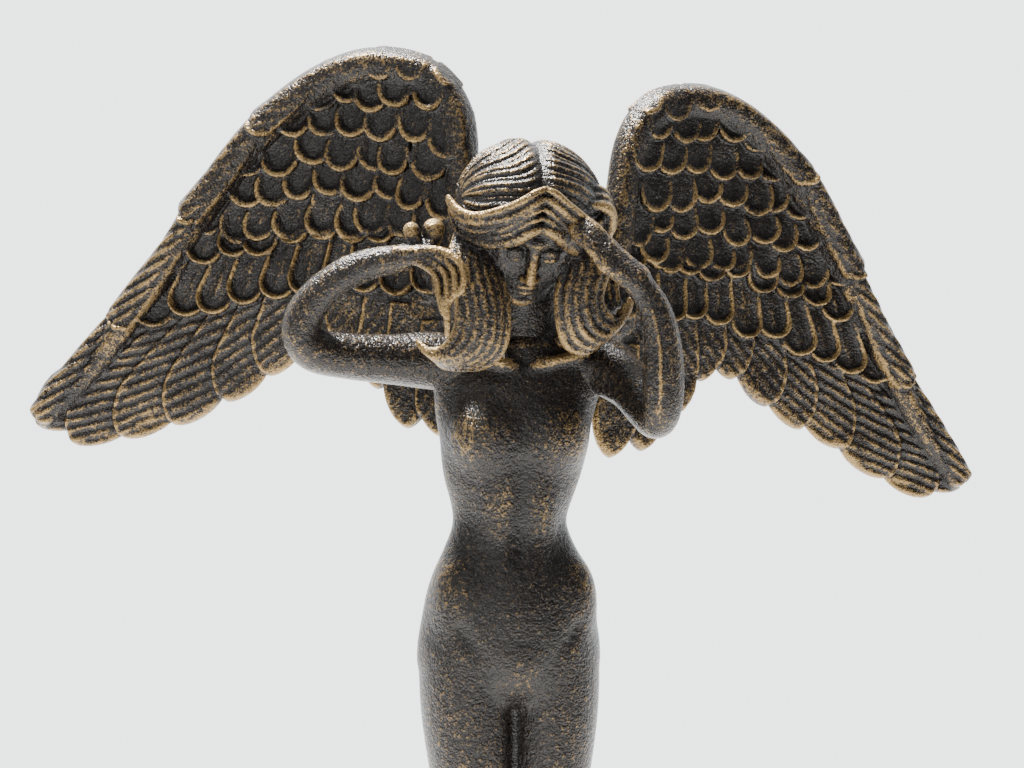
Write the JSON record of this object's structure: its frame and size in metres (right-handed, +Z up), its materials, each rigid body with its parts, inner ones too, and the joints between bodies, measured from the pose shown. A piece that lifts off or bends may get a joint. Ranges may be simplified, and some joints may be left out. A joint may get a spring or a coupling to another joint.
{
  "type": "winged figurine",
  "caption": "Standing winged figurine with bowed head and raised arms on a round stepped plinth, in a dark antique bronze finish.",
  "frame": {"origin": "centre of the felt pad's underside, on the surface that the figurine stands on", "axes": "+Z up along the figure; -Y the way the figure faces; +X the figure's left-hand side"},
  "size_m": [0.2822, 0.1241, 0.3557],
  "materials": {
    "bronze_resin": "near-black grainy resin with worn antique gold on the raised parts, semi-gloss",
    "steel": "zinc-plated, satin",
    "felt": "black pressed felt"
  },
  "bodies": {
    "root": {"body_casting": "bronze_resin", "head_casting": "bronze_resin", "right_arm": "bronze_resin", "left_arm": "bronze_resin", "right_wing": "bronze_resin", "left_wing": "bronze_resin", "plinth": "bronze_resin", "neck_dowel": "steel", "shoulder_dowels": "steel", "wing_screws": "steel", "leg_rods": "steel", "rod_washers": "steel", "rod_nuts": "steel", "felt_pad": "felt"}
  },
  "joints": []
}
